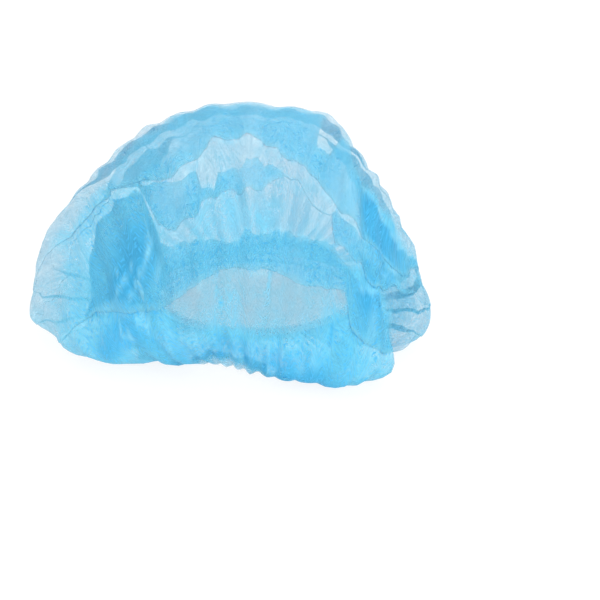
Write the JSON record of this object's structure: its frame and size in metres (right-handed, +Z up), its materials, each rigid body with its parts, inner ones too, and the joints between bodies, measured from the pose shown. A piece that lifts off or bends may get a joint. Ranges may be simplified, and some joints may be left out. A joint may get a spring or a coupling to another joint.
{
  "type": "disposable bouffant hair cap",
  "caption": "Puffed-open disposable hair cap: pleated non-woven crown, elastic hems and welded ends round an oval head opening.",
  "frame": {"origin": "centre of the oval head opening, at the level of the surface the cap stands on", "axes": "+X from the left welded end to the right one, +Y to the back, +Z up out of the crown's top"},
  "size_m": [0.2898, 0.2376, 0.1508],
  "materials": {
    "nonwoven": "thin translucent spunbond, matt, fine bond points",
    "hem": "gathered double spunbond, matt",
    "elastic": "covered white elastic thread",
    "weld": "pressed and ribbed, slight gloss"
  },
  "bodies": {
    "root": {"crown": "nonwoven", "front_hem": "hem", "back_hem": "hem", "front_elastic": "elastic", "back_elastic": "elastic", "left_weld": "weld", "right_weld": "weld"}
  },
  "joints": []
}
